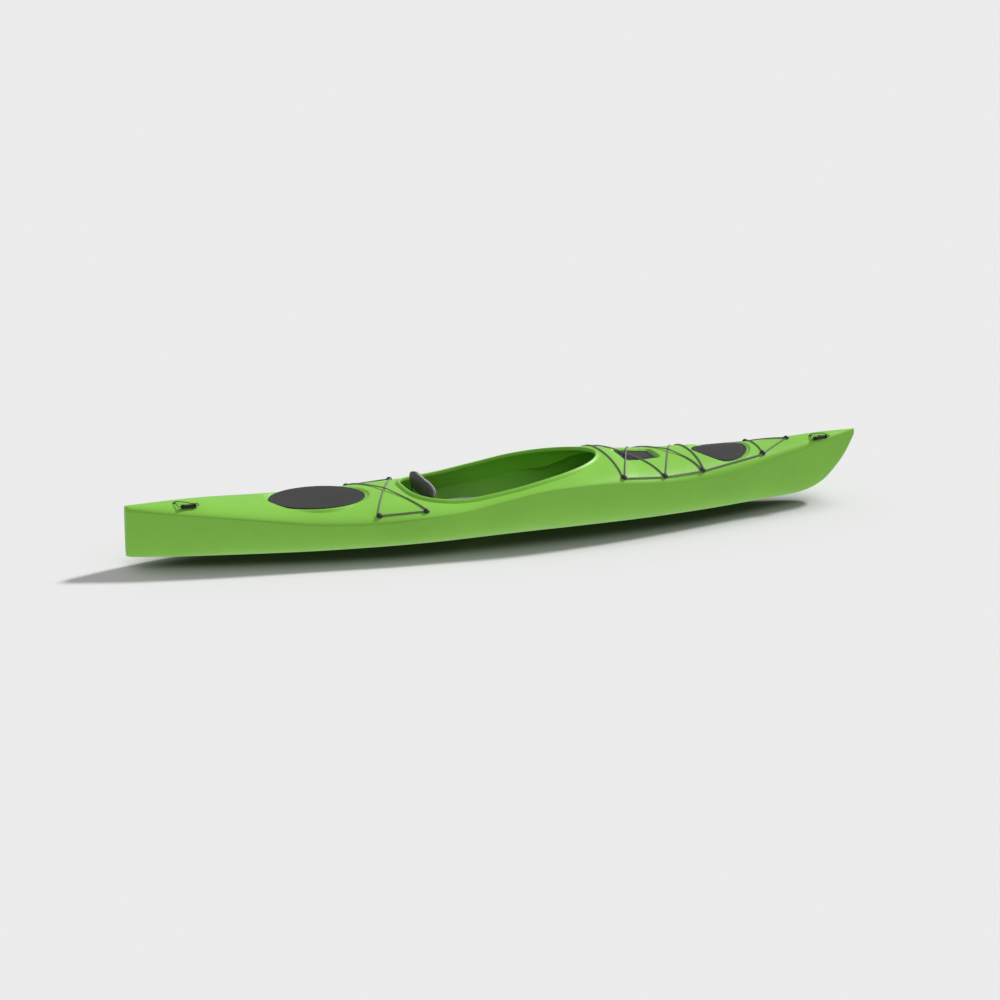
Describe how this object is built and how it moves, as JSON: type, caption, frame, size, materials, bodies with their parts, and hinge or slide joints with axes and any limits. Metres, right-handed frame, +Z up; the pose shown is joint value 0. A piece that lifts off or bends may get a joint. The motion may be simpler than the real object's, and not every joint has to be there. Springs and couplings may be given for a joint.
{
  "type": "kayak",
  "caption": "Decked touring kayak with an open cockpit, padded seat and backrest, oval hatches, day hatch, laced deck cords and carry toggles.",
  "frame": {"origin": "under the middle of the boat, at the lowest point of the keel", "axes": "+X towards the bow, +Y to port, +Z up"},
  "size_m": [3.75, 0.67, 0.3309],
  "materials": {
    "hull": "satin moulded polyethylene, deeper green",
    "deck": "satin moulded polyethylene, bright green",
    "hatch_cover": "smooth dark grey rubber",
    "hatch_rim": "moulded black plastic",
    "fitting": "moulded dark grey nylon",
    "toggle": "soft black grip",
    "rope": "dark braided cord",
    "bungee": "grey braided elastic cord",
    "deck_line": "grey braided cord",
    "foam": "closed-cell foam",
    "seat_plastic": "moulded black plastic",
    "backrest_back": "moulded dark grey plastic",
    "pad_fabric": "light grey woven cover over foam",
    "steel": "bare steel",
    "aluminium": "anodised",
    "pedal": "moulded black plastic"
  },
  "bodies": {
    "root": {"backrest_pin_port": "steel", "backrest_pin_starboard": "steel", "bow_cord": "deck_line", "bow_toggle_eyelet": "fitting", "coaming": "deck", "day_hatch_pod": "hatch_rim", "day_hatch_rim": "hatch_rim", "deck_line_port": "deck_line", "deck_line_starboard": "deck_line", "deck_shell": "deck", "fitting_bow_port": "fitting", "fitting_bow_starboard": "fitting", "fitting_front_aft_port": "fitting", "fitting_front_aft_starboard": "fitting", "fitting_front_fore_port": "fitting", "fitting_front_fore_starboard": "fitting", "fitting_front_mid_port": "fitting", "fitting_front_mid_starboard": "fitting", "fitting_rear_aft_port": "fitting", "fitting_rear_aft_starboard": "fitting", "fitting_rear_fore_port": "fitting", "fitting_rear_fore_starboard": "fitting", "fitting_tip": "fitting", "foot_rail_port": "aluminium", "foot_rail_starboard": "aluminium", "front_bulkhead": "foam", "front_bungee": "bungee", "front_hatch_rim": "hatch_rim", "hull_shell": "hull", "rear_bulkhead": "foam", "rear_bungee": "bungee", "rear_hatch_rim": "hatch_rim", "seat_pad": "pad_fabric", "seat_pan": "seat_plastic", "stern_toggle_eyelet": "fitting"},
    "rear_hatch": {"rear_hatch_cover": "hatch_cover"},
    "front_hatch": {"front_hatch_cover": "hatch_cover"},
    "day_hatch": {"day_hatch_cover": "hatch_cover"},
    "backrest": {"backrest_shell": "backrest_back", "backrest_pad": "pad_fabric"},
    "pedal_port": {"foot_pedal_port": "pedal"},
    "pedal_starboard": {"foot_pedal_starboard": "pedal"},
    "stern_handle": {"stern_toggle": "toggle", "stern_toggle_rope": "rope"},
    "bow_handle": {"bow_toggle": "toggle", "bow_toggle_rope": "rope"}
  },
  "joints": [
    {"name": "rear_hatch_lift", "type": "slide", "parent": "root", "child": "rear_hatch", "axis": [0, 0, 1], "range_m": [0, 0.12]},
    {"name": "front_hatch_lift", "type": "slide", "parent": "root", "child": "front_hatch", "axis": [0, 0, 1], "range_m": [0, 0.12]},
    {"name": "day_hatch_lift", "type": "slide", "parent": "root", "child": "day_hatch", "axis": [0, 0, 1], "range_m": [0, 0.04], "deforming": ["front_bungee"]},
    {"name": "backrest_recline", "type": "hinge", "parent": "root", "child": "backrest", "pos_m": [-0.4, 0, 0.1], "axis": [0, 1, 0], "range_deg": [-8, 55]},
    {"name": "pedal_port_slide", "type": "slide", "parent": "root", "child": "pedal_port", "axis": [0.9935, -0.1142, 0], "range_m": [-0.13, 0.15]},
    {"name": "pedal_starboard_slide", "type": "slide", "parent": "root", "child": "pedal_starboard", "axis": [0.9935, 0.1142, 0], "range_m": [-0.13, 0.15]},
    {"name": "stern_handle_lift", "type": "hinge", "parent": "root", "child": "stern_handle", "pos_m": [-1.639, -0.01, 0.2825], "axis": [0, -1, 0], "range_deg": [0, 150], "deforming": ["stern_toggle_rope"]},
    {"name": "bow_handle_lift", "type": "hinge", "parent": "root", "child": "bow_handle", "pos_m": [1.631, -0.02, 0.312], "axis": [0, -1, 0], "range_deg": [0, 150], "deforming": ["bow_toggle_rope"]}
  ]
}
